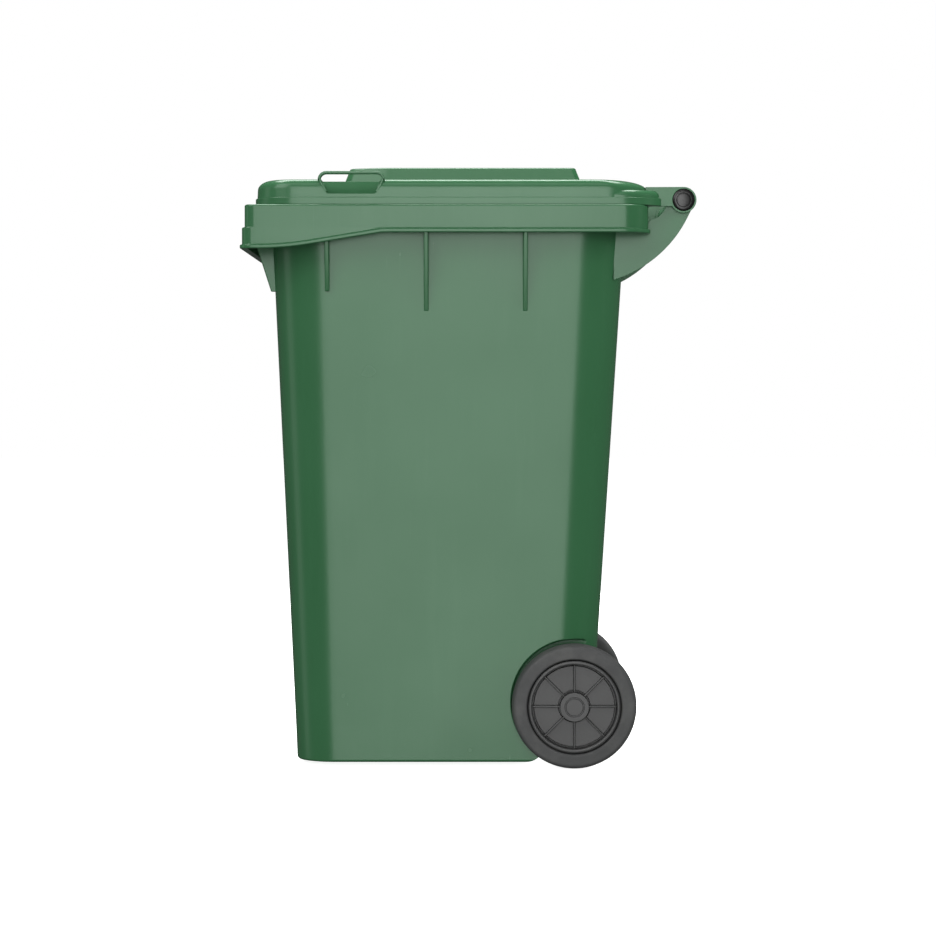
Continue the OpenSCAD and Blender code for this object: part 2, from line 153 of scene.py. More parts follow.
def tub_ring(z, inset):
    measures = {k: v - inset for k, v in tub_at(z).items()}
    return [(x, y, z) for x, y in rounded(**measures)]


def rim_ring(out, forward, z):
    """A ring round the rim. z is a height, or the height over the skirt's lower edge as a function of y."""
    points = rounded(rim_half_w + out, rim_front + out + forward, rim_back + out,
                     18 + max(out, -skirt_t), 46 + out)
    return [(x, y, z(y) if callable(z) else z) for x, y in points]


def arc(steps=4, start=0, end=90):
    """Sine and cosine of evenly spaced angles, for rounding an edge."""
    for i in range(steps + 1):
        a = math.radians(start + (end - start) * i / steps)
        yield math.sin(a), math.cos(a)


def tub_outer_rings():
    """The outside of the walls, from the middle of the floor up to the rim."""
    foot = 5
    rings = [tub_ring(base_z, 40), tub_ring(base_z, foot + 2)]
    rings += [tub_ring(base_z + foot * (1 - c), foot * (1 - s)) for s, c in arc()]
    for i in range(1, 12):
        rings.append(tub_ring(base_z + foot + (rim_z - 8 - base_z - foot) * i / 11, 0))
    return rings


def rim_rings():
    """From under the rim down the skirt's inside, round its bead, and up its outside to the top."""
    r = 2.4
    rings = [tub_ring(rim_z - 5.6, -0.8), tub_ring(rim_z - 5, -2.4)]
    rings += [rim_ring(-skirt_t - 1.5, 0, rim_z - 5), rim_ring(-skirt_t, 0, rim_z - 7)]
    rings += [rim_ring(-skirt_t, 0, step_z), rim_ring(-skirt_t, 0, lambda y: skirt_low(y) + 1)]
    rings += [rim_ring(-skirt_t + 1, step_out, skirt_low)]
    rings += [rim_ring(bead - r + r * s, step_out, lambda y, c=c: skirt_low(y) + r * (1 - c))
              for s, c in arc()]
    rings += [rim_ring(bead - r + r * c, step_out, lambda y, s=s: skirt_low(y) + bead_h - r + r * s)
              for s, c in arc()]
    rings += [rim_ring(0.8, step_out, lambda y: skirt_low(y) + bead_h + 0.1),
              rim_ring(0.0, step_out, lambda y: skirt_low(y) + bead_h + 0.9)]
    rings += [rim_ring(0, step_out, lambda y: max(step_z - 1.2, skirt_low(y) + bead_h + 1.0)),
              rim_ring(-0.3, step_out, lambda y: max(step_z - 0.2, skirt_low(y) + bead_h + 1.3))]
    rings += [rim_ring(0, 0, step_z + 1.6)]
    top_r = 3.5
    rings += [rim_ring(-top_r + top_r * c, 0, rim_z - top_r + top_r * s) for s, c in arc(5)]
    return rings


def tub_inner_rings():
    """The inside, from the rim's lip down to the middle of the floor."""
    lip = 2
    rings = [tub_ring(rim_z, wall - lip)]
    rings += [tub_ring(rim_z - lip * (1 - c), wall - lip + lip * s) for s, c in arc()]
    foot = 9
    low = base_z + floor_t
    for i in range(1, 12):
        rings.append(tub_ring(rim_z - lip - (rim_z - lip - low - foot) * i / 11, wall))
    rings += [tub_ring(low + foot * (1 - s), wall + foot * (1 - c)) for s, c in arc()]
    return rings + [tub_ring(low, 60)]


# ---- mesh helpers ----


def new_object(name, bm):
    bmesh.ops.recalc_face_normals(bm, faces=bm.faces)
    mesh = bpy.data.meshes.new(name)
    bm.to_mesh(mesh)
    bm.free()
    obj = bpy.data.objects.new(name, mesh)
    bpy.context.scene.collection.objects.link(obj)
    return obj


def add_rings(bm, rings, closed=False):
    """Quads between rings of the same count. Both ends are capped unless the loft is closed."""
    loops = [[bm.verts.new(Vector(p) * MM) for p in ring] for ring in rings]
    n = len(rings[0])
    pairs = list(zip(loops, loops[1:])) + ([(loops[-1], loops[0])] if closed else [])
    for a, b in pairs:
        for i in range(n):
            j = (i + 1) % n
            bm.faces.new((a[i], a[j], b[j], b[i]))
    if not closed:
        bm.faces.new(loops[0][::-1])
        bm.faces.new(loops[-1])


def loft(name, rings, closed=False):
    bm = bmesh.new()
    add_rings(bm, rings, closed)
    return new_object(name, bm)


def prism(name, outline, start, end, place):
    """outline extruded from start to end; place turns (u, v, w) into a point in millimetres."""
    bm = bmesh.new()
    add_rings(bm, [[place(u, v, w) for u, v in outline] for w in (start, end)])
    return new_object(name, bm)


def along_x(u, v, w):
    return (w, u, v)


def along_y(u, v, w):
    return (u, w, v)


def along_z(u, v, w):
    return (u, v, w)


def mirrored(obj, name):
    bm = bmesh.new()
    bm.from_mesh(obj.data)
    bmesh.ops.scale(bm, vec=(-1, 1, 1), verts=bm.verts)
    bmesh.ops.reverse_faces(bm, faces=bm.faces)
    return new_object(name, bm)


def bake_modifiers(obj):
    depsgraph = bpy.context.evaluated_depsgraph_get()
    mesh = bpy.data.meshes.new_from_object(obj.evaluated_get(depsgraph))
    old = obj.data
    obj.modifiers.clear()
    obj.data = mesh
    bpy.data.meshes.remove(old)
    return obj


def boolean(obj, operation, *others):
    """Applies a boolean with each of the others, and removes them."""
    for other in others:
        m = obj.modifiers.new("cut", "BOOLEAN")
        m.operation = operation
        m.solver = "MANIFOLD"
        m.object = other
        bake_modifiers(obj)
        bpy.data.objects.remove(other)
    return obj


def join(name, parts):
    bm = bmesh.new()
    for part in parts:
        part.data.transform(part.matrix_world)
        bm.from_mesh(part.data)
        bpy.data.objects.remove(part)
    return new_object(name, bm)


def bevel(obj, width, segments=3, angle=35):
    m = obj.modifiers.new("bevel", "BEVEL")
    m.width = width * MM
    m.segments = segments
    m.limit_method = "ANGLE"
    m.angle_limit = math.radians(angle)
    m.harden_normals = False
    return bake_modifiers(obj)


def smooth(obj, angle=32):
    """Smooth shading inside the sharp edges, with large faces kept flat."""
    for p in obj.data.polygons:
        p.use_smooth = True
    obj.data.set_sharp_from_angle(angle=math.radians(angle))
    m = obj.modifiers.new("normals", "WEIGHTED_NORMAL")
    m.keep_sharp = True
    m.weight = 80
    return bake_modifiers(obj)


def full_turn(n):
    return [2 * math.pi * i / n for i in range(n)]


def turned(name, profile, start, centre, segments=96):
    """A closed profile of (radius, distance from start along X) points, turned about a centre."""
    y, z = centre
    rings = [[(start + x, y + r * math.cos(a), z + r * math.sin(a)) for r, x in profile]
             for a in full_turn(segments)]
    return loft(name, rings, closed=True)


def rod(centre, sections):
    """A round rod along X. Each section is a place along it and the radius there."""
    y, z = centre
    return loft("rod", [[(x, y + r * math.cos(a), z + r * math.sin(a)) for a in full_turn(48)]
                        for x, r in sections])


def hole(centre, r, x0, x1):
    return rod(centre, [(x0, r), (x1, r)])


def on_side(obj, side):
    """The object itself on the right, and its mirror image in its place on the left."""
    if side == "right":
        return obj
    twin = mirrored(obj, "twin")
    bpy.data.objects.remove(obj)
    return twin


# ---- tub and its cut-outs ----

pocket_r = tyre_r + 2
pocket_y, pocket_z = axle_y + 1, axle_z + 5
pocket_x = 215
flank = 8
recess_z, recess_r = 168, 38
heel_y, heel_r = 102, 37           # where the lower edge curves up, and by how much


def pocket(more, name):
    """The space round one wheel. Its mouth flares where it meets the tub's side."""
    slope = (HIGH["half_w"] - LOW["half_w"]) / (rim_z - base_z)
    side_x = LOW["half_w"] + slope * (axle_z - base_z)
    lip = 1.6
    start = pocket_x - (flank if more else 0)
    sections = [(start, pocket_r + more - 4), (start + 1.2, pocket_r + more - 1.2),
                (start + 4, pocket_r + more)]
    if more:
        sections.append((far_x, pocket_r + more))
    else:
        sections += [(side_x - lip + lip * s, pocket_r + lip * (1 - c)) for s, c in arc(6)]
        sections.append((far_x, pocket_r + lip))
    rings = []
    for x, r in sections:
        lean = slope if not more and x > side_x - lip - 0.01 else 0
        rings.append([(x + lean * r * math.sin(a), pocket_y + r * math.cos(a), pocket_z + r * math.sin(a))
                      for a in full_turn(96)])
    return loft(name, rings)


def recess(more, name):
    """The space for the axle between the two wheel pockets."""
    half = pocket_x - flank + more
    y, z, r = heel_y + heel_r - more, recess_z + more, recess_r + more
    outline = [(y + 220, underground), (y + 220, z)]
    outline += [(y + r - r * s, z - r + r * c) for s, c in arc(10)]
    outline += [(y, underground)]
    return prism(name, outline, -half, half, along_x)


def heel(more, name):
    """What is missing under the tub's rounded lower back edge."""
    centre_z = base_z + heel_r
    r = heel_r - more
    outline = [(heel_y, underground), (heel_y, centre_z - r)]
    outline += [(heel_y + r * s, centre_z - r * c) for s, c in arc(12)][1:]
    outline += [(heel_y + 200, centre_z), (heel_y + 200, underground)]
    return prism(name, outline, -300, 300, along_x)


def both(obj, name):
    return obj, mirrored(obj, name)


def tub_shell():
    inner = loft("inner", tub_inner_rings()[::-1] + [tub_ring(rim_z + 20, wall)])
    boolean(inner, "DIFFERENCE", *both(pocket(wall, "grown_right"), "grown_left"),
            recess(wall, "grown_recess"), heel(wall, "grown_heel"))
    outer = loft("tub_body", tub_outer_rings() + rim_rings() + [tub_ring(rim_z, wall + 8)])
    boolean(outer, "DIFFERENCE", inner, *both(pocket(0, "pocket_right"), "pocket_left"),
            recess(0, "recess"), heel(0, "heel"))
    return boolean(outer, "DIFFERENCE", hole(AXLE, axle_bore, -260, 260))


RIB_T = 8                          # thickness of ribs, brackets and hangers


def side_ribs():
    ribs = []
    for i, y in enumerate((-261, -80, 101)):
        low = rim_z - (156 if i == 0 else 192)
        foot = tub_at(low)["half_w"] - 2
        outline = [(foot, low), (foot + (9 if i == 0 else 3), low), (rim_half_w - 3.5, rim_z - skirt_h - 2),
                   (rim_half_w - 3.5, rim_z - 3), (tub_at(rim_z)["half_w"] - 3, rim_z - 3)]
        rib = bevel(prism(f"rib{i}", outline, y - RIB_T / 2, y + RIB_T / 2, along_y), 1.5)
        ribs += both(rib, f"rib{i}_left")
    for i, x in enumerate((-92, 0, 92)):
        low = rim_z - 122
        outline = [(tub_at(low)["back"] - 2, low), (tub_at(low)["back"] + 2, low),
                   (rim_back - 3.5, rim_z - skirt_h + 2), (rim_back - 3.5, rim_z - 3),
                   (tub_at(rim_z)["back"] - 3, rim_z - 3)]
        ribs.append(bevel(prism(f"back_rib{i}", outline, x - RIB_T / 2, x + RIB_T / 2, along_x), 1.5))
    return ribs


def comb_ribs():
    ribs = []
    skirt_y = -rim_front + skirt_t - 0.5
    for i in range(5):
        x = -175 + 87.5 * i
        outer = i in (0, 4)
        low = rim_z - (154 if outer else 119)
        outline = [(-tub_at(rim_z)["front"] + 3, rim_z - 3), (skirt_y, rim_z - 3), (skirt_y, rim_z - 52),
                   (-395, rim_z - 73), (-tub_at(low)["front"] - (7 if outer else 2), low),
                   (-tub_at(low)["front"] + 3, low)]
        ribs.append(bevel(prism(f"comb{i}", outline, x - RIB_T / 2, x + RIB_T / 2, along_x), 1.5))
    return ribs


eye_r = 23.6                       # outside of the lid arm's eye
arch_r = 221.5                     # sweep of the bracket's lower edge
notch_r = 36                       # room for the lid's back edge to swing
bracket_foot = 264
bracket_x = bar_high.x + 0.1       # inner face of each bracket


def bracket_outline():
    """The bracket's side view, clockwise from its foot on the tub's back."""
    cy, cz = hinge_y - 190.5, hinge_z + 66.5
    start = -math.acos((bracket_foot - cy) / arch_r)
    end = math.atan2(hinge_z - 20 - cz, hinge_y + 18 - cy)
    points = [(cy + arch_r * math.cos(a), cz + arch_r * math.sin(a))
              for a in (start + (end - start) * i / 16 for i in range(16))]
    points += [(hinge_y + (eye_r - 1.5) * math.cos(a), hinge_z + (eye_r - 1.5) * math.sin(a))
               for a in (math.radians(-42 + (202 + 42) * i / 22) for i in range(23))]
    points += [(rim_back + notch_r * math.cos(a), hinge_z + notch_r * math.sin(a))
               for a in (math.radians(-14 - 68 * i / 8) for i in range(9))]
    return points + [(rim_back - 2, rim_z - 37), (rim_back - 2, rim_z - 30), (bracket_foot, rim_z - 30)]


def brackets():
    plate = prism("bracket", bracket_outline(), bracket_x, bracket_x + RIB_T, along_x)
    boolean(plate, "DIFFERENCE", hole(HINGE, pin_bore, bracket_x - 5, bracket_x + RIB_T + 5))
    return both(bevel(plate, 1.2), "bracket_left")


def hangers():
    parts = []
    for i, x in enumerate((44, 128)):
        outline = [(axle_y + 20, recess_z + 2), (axle_y - 20, recess_z + 2)]
        outline += [(axle_y - 20 * c, axle_z - 20 * s) for s, c in arc(16, 0, 180)]
        plate = prism(f"hanger{i}", outline, x, x + RIB_T, along_x)
        boolean(plate, "DIFFERENCE", hole(AXLE, axle_bore, x - 3, x + RIB_T + 3))
        parts += both(bevel(plate, 1), f"hanger{i}_left")
    return parts


def foot_ring():
    outer, inner = rounded(160, 288, 96, 40, 40), rounded(142, 270, 78, 24, 24)
    edge = rounded(159.2, 287.2, 95.2, 39, 39)
    top = base_z + 1.5
    section = ((outer, top), (outer, 0.8), (edge, 0), (inner, 0), (inner, top))
    return loft("foot_ring", [[(x, y, z) for x, y in o] for o, z in section], closed=True)


def outside_only(parts):
    """The parts, without what would reach through the tub's wall."""
    inside = loft("inside", [tub_ring(z, wall * 0.5) for z in (base_z, rim_z + 20)])
    return boolean(join("outside", parts), "DIFFERENCE", inside)


def make_tub(material):
    parts = [tub_shell(), outside_only([*side_ribs(), *comb_ribs(), *brackets()]), *hangers(), foot_ring()]
    tub = smooth(join("tub_moulding", parts), 30)
    tub.data.materials.append(material)
    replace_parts(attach(tub, "bin"), "tub")
    return tub


# ---- materials ----


class Nodes:
    """Short names for the shader nodes that the materials use."""

    def __init__(self, name):
        self.material = bpy.data.materials.new(name)
        self.material.use_nodes = True
        self.tree = self.material.node_tree
        self.shader = self.tree.nodes["Principled BSDF"]
        self.coords = self.add("ShaderNodeTexCoord").outputs["Object"]

    def add(self, kind, **values):
        node = self.tree.nodes.new(kind)
        for key, value in values.items():
            setattr(node, key, value)
        return node

    def link(self, a, b):
        self.tree.links.new(a, b)

    def noise(self, scale, detail=4, rough=0.5, stretch=(1, 1, 1), offset=0):
        mapping = self.add("ShaderNodeMapping")
        mapping.inputs["Scale"].default_value = stretch
        mapping.inputs["Location"].default_value = (offset, offset * 0.7, offset * 1.3)
        self.link(self.coords, mapping.inputs["Vector"])
        noise = self.add("ShaderNodeTexNoise")
        noise.inputs["Scale"].default_value = scale
        noise.inputs["Detail"].default_value = detail
        noise.inputs["Roughness"].default_value = rough
        self.link(mapping.outputs["Vector"], noise.inputs["Vector"])
        return noise.outputs["Fac"]

    def band(self, value, low, high, out_low=0.0, out_high=1.0):
        node = self.add("ShaderNodeMapRange")
        node.clamp = True
        for key, v in (("From Min", low), ("From Max", high), ("To Min", out_low), ("To Max", out_high)):
            node.inputs[key].default_value = v
        self.link(value, node.inputs["Value"])
        return node.outputs["Result"]

    def mix(self, fac, a, b):
        node = self.add("ShaderNodeMix", data_type="RGBA")
        self.link(fac, node.inputs["Factor"])
        for socket, value in ((node.inputs["A"], a), (node.inputs["B"], b)):
            if isinstance(value, tuple):
                socket.default_value = (*value, 1)
            else:
                self.link(value, socket)
        return node.outputs["Result"]

    def math(self, operation, a, b):
        node = self.add("ShaderNodeMath", operation=operation)
        for socket, value in ((node.inputs[0], a), (node.inputs[1], b)):
            if isinstance(value, (int, float)):
                socket.default_value = value
            else:
                self.link(value, socket)
        return node.outputs["Value"]

    def bump(self, height, distance, strength, normal=None):
        node = self.add("ShaderNodeBump")
        node.inputs["Distance"].default_value = distance
        node.inputs["Strength"].default_value = strength
        self.link(height, node.inputs["Height"])
        if normal is not None:
            self.link(normal, node.inputs["Normal"])
        return node.outputs["Normal"]

    def soft_edges(self, radius):
        node = self.add("ShaderNodeBevel")
        node.samples = 6
        node.inputs["Radius"].default_value = radius
        return node.outputs["Normal"]


def moulded_plastic(name, dark, base, pale, rough, tint=(1, 1, 1), grain=0.00003, edge=0.0007):
    """Moulded plastic: slightly uneven colour, a fine grain, flow marks, faint scratches and soft edges."""
    n = Nodes(name)
    cloud = n.band(n.noise(4, 3, 0.5), 0.2, 0.8)
    colour = n.mix(cloud, dark, base)
    streak = n.band(n.noise(26, 5, 0.6, stretch=(1, 1, 0.12), offset=3.1), 0.52, 0.85, 0, 0.22)
    colour = n.mix(streak, colour, pale)
    scratch = n.band(n.noise(240, 2, 0.5, stretch=(1, 1, 0.05), offset=7.7), 0.66, 0.74)
    patch = n.band(n.noise(6, 3, 0.5, offset=1.9), 0.55, 0.75)
    marks = n.math("MULTIPLY", n.math("MULTIPLY", scratch, patch), 0.07)
    colour = n.mix(marks, colour, tuple(min(1, c * 1.5 + 0.06) for c in pale))
    n.link(colour, n.shader.inputs["Base Color"])
    uneven = n.band(n.noise(7, 3, 0.5, offset=5.3), 0.1, 0.9, rough - 0.03, rough + 0.04)
    n.link(n.math("ADD", uneven, n.math("MULTIPLY", marks, 0.2)), n.shader.inputs["Roughness"])
    n.shader.inputs["IOR"].default_value = 1.5
    n.shader.inputs["Specular Tint"].default_value = (*tint, 1)
    normal = n.bump(n.noise(5, 1, 0.3, offset=2.2), 0.002, 0.06, n.soft_edges(edge))
    normal = n.bump(n.noise(900, 2, 0.6, offset=4.4), grain, 0.5, normal)
    n.link(normal, n.shader.inputs["Normal"])
    return n.material


def rubber(name):
    n = Nodes(name)
    dust = n.band(n.noise(14, 6, 0.65), 0.45, 0.75)
    colour = n.mix(dust, (0.058, 0.058, 0.059), (0.090, 0.089, 0.087))
    n.link(colour, n.shader.inputs["Base Color"])
    n.link(n.band(n.noise(40, 4, 0.6, offset=2.0), 0.3, 0.7, 0.55, 0.72), n.shader.inputs["Roughness"])
    normal = n.bump(n.noise(700, 3, 0.7, offset=1.0), 0.0001, 0.5, n.soft_edges(0.0008))
    n.link(normal, n.shader.inputs["Normal"])
    return n.material


def zinc_steel(name):
    n = Nodes(name)
    spangle = n.band(n.noise(160, 3, 0.5, stretch=(0.2, 1, 1)), 0.35, 0.65)
    n.link(n.mix(spangle, (0.46, 0.47, 0.49), (0.62, 0.63, 0.65)), n.shader.inputs["Base Color"])
    brushed = n.noise(300, 4, 0.6, stretch=(0.1, 1, 1))
    n.link(n.band(brushed, 0.3, 0.7, 0.28, 0.45), n.shader.inputs["Roughness"])
    n.shader.inputs["Metallic"].default_value = 1.0
    n.link(n.bump(n.noise(500, 2, 0.5), 0.00005, 0.4), n.shader.inputs["Normal"])
    return n.material


# ---- camera, floor and light ----


def make_camera():
    """The side view: level with the tub's upper half, and 5.5 m away."""
    camera = bpy.data.objects.new("camera", bpy.data.cameras.new("camera"))
    bpy.context.scene.collection.objects.link(camera)
    distance, height = 5.475, 0.6668
    camera.data.sensor_width = 36
    camera.data.lens = 109.7
    camera.location = (distance, -0.0037, height)
    tilt = math.radians(90 - 1.270)
    camera.rotation_euler = (tilt, 0, math.radians(90))
    bpy.context.scene.camera = camera


def area_light(name, place, target, size, power, colour=(1, 1, 1)):
    light = bpy.data.objects.new(name, bpy.data.lights.new(name, "AREA"))
    light.data.shape = "RECTANGLE"
    light.data.size, light.data.size_y = size
    light.data.energy = power
    light.data.color = colour
    light.location = place
    light.rotation_euler = (Vector(target) - Vector(place)).to_track_quat("-Z", "Y").to_euler()
    bpy.context.scene.collection.objects.link(light)
    light.visible_camera = False
    return light


def make_floor():
    bm = bmesh.new()
    bmesh.ops.create_grid(bm, x_segments=1, y_segments=1, size=30)
    floor = new_object("floor", bm)
    n = Nodes("floor_white")
    n.shader.inputs["Base Color"].default_value = (0.9, 0.9, 0.9, 1)
    n.shader.inputs["Roughness"].default_value = 0.8
    n.shader.inputs["Emission Color"].default_value = (1, 1, 1, 1)
    n.shader.inputs["Emission Strength"].default_value = 0.9
    floor.data.materials.append(n.material)
    floor.visible_diffuse = floor.visible_glossy = floor.visible_shadow = False


def make_world():
    """The camera sees white, and reflections see a darker room than the soft light does."""
    world = bpy.data.worlds.new("studio")
    bpy.context.scene.world = world
    world.use_nodes = True
    tree = world.node_tree
    path = tree.nodes.new("ShaderNodeLightPath")
    last = tree.nodes["Background"]
    last.inputs["Color"].default_value = (0.92, 1.0, 0.95, 1)
    last.inputs["Strength"].default_value = 0.34
    for ray, strength in (("Is Glossy Ray", 0.07), ("Is Camera Ray", 1.0)):
        other = tree.nodes.new("ShaderNodeBackground")
        other.inputs["Strength"].default_value = strength
        other.inputs["Color"].default_value = (1, 1, 1, 1)
        mix = tree.nodes.new("ShaderNodeMixShader")
        tree.links.new(path.outputs[ray], mix.inputs["Fac"])
        tree.links.new(last.outputs[0], mix.inputs[1])
        tree.links.new(other.outputs[0], mix.inputs[2])
        last = mix
    tree.links.new(last.outputs[0], tree.nodes["World Output"].inputs["Surface"])
    bpy.context.scene.view_settings.view_transform = "Standard"


def make_lights():
    centre = (0, 0, 0.6)
    area_light("front_soft", (5.9, 0, 0.6), (0, 0, 0.6), (2.2, 4.6), 116)
    area_light("rim_soft", (5.8, 0, 2.0), (0, 0, 2.0), (2.2, 1.8), 20)
    area_light("panel_soft", (3.5, 0, 4.1), (0.2, 0, 1.1), (1.7, 1.2), 14)
    area_light("key_soft", (3.2, -2.8, 3.4), centre, (3.2, 3.2), 110)
    area_light("top_soft", (-0.5, -0.2, 3.4), (-0.5, -0.2, 0), (1.4, 2.6), 130)
    area_light("back_soft", (0.8, 4, 2.0), centre, (2, 2), 95).visible_glossy = False
    area_light("side_soft", (0.2, -5, 0.9), (0.2, 0, 0.9), (1.6, 4.0), 13)
    area_light("far_fill", (-4.5, 0.5, 1.4), centre, (2.5, 2.5), 70).visible_glossy = False


# ---- lid ----

lid_half_w = lid_high.x
lid_front = -lid_low.y
lid_back = 330
lobe_front = 262
lobe_back = 357
lid_z = rim_z + 0.3
flange_top = rim_z + 13.6
dome_z = rim_z + 46.4
lobe_z = rim_z + 28
dome_in = 3
dome_rise = 17
lid_wall = 4
arm_x = bracket_x + 10             # inner face of each hinge arm
arm_t = 12
lid_span = (rim_z - 40, rim_z + 90)    # heights between which the cutting shapes clear the lid
head_seat = 4                      # depth of the seat for the hinge pin's head
head_r = 20.2


def lid_ring(inset, z, back=lobe_back):
    return [(x, y, z) for x, y in rounded(lid_half_w - inset, lid_front - inset, back - inset,
                                          max(70 - inset, 12), max(80 - inset, 12))]


def dome_ring(side, front, back, z):
    """side, front and back are how far the ring lies inside the dome's foot."""
    r = dome_in + (side + front) / 2
    return [(x, y, z) for x, y in rounded(lid_half_w - dome_in - side, lid_front - dome_in - front,
                                          lid_back - dome_in - back, max(70 - r, 14), max(78 - r, 20))]


def dome(inset, name):
    foot = lid_z - 5 if inset else flange_top - 4
    round_side, round_front, round_back = 11, 25, 55
    rings = [dome_ring(inset, inset, inset, foot), dome_ring(inset, inset, inset, flange_top)]
    for i in range(11):
        a = math.radians(9 * i)
        rise, go = math.sin(a), 1 - math.cos(a)
        rings.append(dome_ring(inset + 0.8 + round_side * go, inset + 0.8 + round_front * go,
                               inset + 0.8 + round_back * go, dome_z - inset - dome_rise * (1 - rise)))
    rings.append(dome_ring(80, 90, 110, dome_z - inset))
    return loft(name, rings)


panel_w, panel_front, panel_back = 183, 234, 206
panel_taper_y = -150


def panel_ring(inset, z):
    """The middle panel's outline, whose sides turn inwards towards the front."""
    ring = []
    for x, y in rounded(panel_w - inset, panel_front - inset, panel_back - inset, 16, 9):
        if y < panel_taper_y:
            t = (panel_taper_y - y) / (panel_front + panel_taper_y)
            x *= 1 - 0.11 * t * t * (3 - 2 * t) - 0.01 * t
        ring.append((x, y, z))
    return ring


def panel(inset, name):
    slope, r = 11, 5
    high = lid_high.z - inset
    rings = [panel_ring(inset - 1, dome_z - 8 - inset), panel_ring(inset, dome_z + 1 - inset)]
    rings += [panel_ring(inset + slope - 1.5 + r * (1 - c), high - r * 0.7 * (1 - s)) for s, c in arc(6)]
    rings.append(panel_ring(inset + slope + 60, high))
    return loft(name, rings)


def flange():
    rings = [lid_ring(3, lid_z), lid_ring(0.6, lid_z), lid_ring(0, lid_z + 0.8)]
    rings.append(lid_ring(0, flange_top - 1))
    rings += [lid_ring(1 - c, flange_top - 1 + s) for s, c in arc()]
    return loft("flange", rings + [lid_ring(24, flange_top)])


def lobes(inset, name):
    """The lid's two back corners, which carry the hinge arms."""
    top = lobe_z - inset
    r = 11
    rings = [lid_ring(3.6 + inset, lid_z + (1 if not inset else -8))]
    rings += [lid_ring(3.6 + inset + r * (1 - c), top - r * (1 - s)) for s, c in arc(7)]
    solid = loft(name, rings + [lid_ring(60, top)])
    half = arm_x + 0.5 + inset
    start, end = lid_back - inset, lobe_front + inset
    notch = prism("notch", [(-half, start), (half, start), (half, far_back), (-half, far_back)],
                  *lid_span, along_z)
    front = prism("front", [(-far_x, -450), (far_x, -450), (far_x, end), (-far_x, end)],
                  *lid_span, along_z)
    return boolean(solid, "DIFFERENCE", notch, front)


def back_notch():
    """The gap in the flange's back edge, between the two lobes."""
    half = arm_x + 0.5
    r = 10
    outline = [(-half + r - r * c, lid_back + r - r * s) for s, c in arc(6)]
    outline += [(half - r + r * s, lid_back + r - r * c) for s, c in arc(6)]
    return prism("back_notch", outline + [(half, far_back), (-half, far_back)], *lid_span, along_z)


scoop_in = 224                     # how far the grip's hollow reaches into the lid
scoop_low = rim_z + 20
scoop_lean = 0.5                   # how much its inner wall leans back


def scoop(more, name):
    """The hollow under a strap grip. Its flanks flare into the dome, and its inner wall leans back."""
    flank_w, flare = 6, 14
    outline = []
    for side, edge in ((-1, -263 - more), (1, -169 + more)):
        curve = [(edge + side * flare * (1 - s), dome_z + 1 - 20 * (1 - c)) for s, c in arc(7)]
        foot = [(edge - side * flank_w * (1 - c), scoop_low + flank_w - more - flank_w * s)
                for s, c in arc(5)]
        points = [(edge + side * flare, dome_z + 40)] + curve + foot
        outline += points if side == -1 else points[::-1]
    inner = [(scoop_in - more + scoop_lean * (dome_z - z), y, z) for y, z in outline]
    return loft(name, [inner, [(scoop_in + 76, y, z) for y, z in outline]])


strap_t, strap_w, strap_r = 4.6, 25, 13


def strap_path():
    """The strap's middle line in side view, with its outward normal at each point."""
    front, back, top = -277 + strap_t / 2, -155 - strap_t / 2, rim_z + 61 - strap_t / 2
    low, lean, r = scoop_low + 4, 13, strap_r
    path = [(front + lean, low, -0.95, -0.3), (front + 4, low + 15, -0.97, -0.24),
            (front + 0.7, low + 24, -1, -0.08)]
    path += [(front + r - r * c, top - r + r * s, -c, s) for s, c in arc(8)]
    path += [(back - r + r * s, top - r + r * c, s, c) for s, c in arc(8)]
    return path + [(back - 0.7, low + 24, 1, -0.08), (back - 4, low + 15, 0.97, -0.24),
                   (back - lean, low, 0.95, -0.3)]


def strap():
    outer = lid_half_w - dome_in - 0.6
    section = rounded(strap_w / 2, strap_t / 2, strap_t / 2, 1.6, 1.6)
    rings = [[(outer - strap_w / 2 + u, y + v * ny, z + v * nz) for u, v in section]
             for y, z, ny, nz in strap_path()]
    return loft("strap", rings)


def arm_outline():
    """The arm's side view: a bar that runs into the eye."""
    top = hinge_z + eye_r - 0.3
    start = 180 + math.degrees(math.asin((hinge_z - lid_z) / eye_r))
    points = [(322, top), (322, lid_z)]
    return points + [(hinge_y + eye_r * math.cos(a), hinge_z + eye_r * math.sin(a))
                     for a in (math.radians(start + (450 - start) * i / 30) for i in range(31))]


def arm():
    plate = prism("arm", arm_outline(), arm_x, arm_x + arm_t, along_x)
    outer_x = arm_x + arm_t
    boolean(plate, "DIFFERENCE", hole(HINGE, pin_bore, arm_x - 5, outer_x + 5),
            hole(HINGE, head_r + 0.4, outer_x - head_seat, outer_x + 5))
    return bevel(plate, 0.9, 3, 40)


def make_lid(material):
    lid = flange()
    boolean(lid, "DIFFERENCE", back_notch())
    boolean(lid, "UNION", lobes(0, "lobes"), dome(0, "dome"), panel(0, "panel"))
    boolean(lid, "DIFFERENCE", dome(lid_wall, "dome_in"), panel(lid_wall, "panel_in"),
            lobes(lid_wall + 2, "lobes_in"))
    for side in SIDES:
        lining = on_side(scoop(lid_wall, "lining"), side)
        cut = on_side(scoop(0, "scoop"), side)
        boolean(lining, "INTERSECT", dome(1, "envelope"))
        boolean(lid, "UNION", lining)
        boolean(lid, "DIFFERENCE", cut)
    lid = smooth(join("lid_moulding", [lid, *both(strap(), "strap_left"), *both(arm(), "arm_left")]), 34)
    lid.data.materials.append(material)
    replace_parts(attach(lid, "lid"), "lid")
    return lid


# ---- wheels ----

hub_r = 26.5
hub_start = 4                      # the hub's inner end, from where the profiles start
rim_r = 86                         # seat of the tyre
pinhole = 0.04                     # a turned disc's middle, too small to see


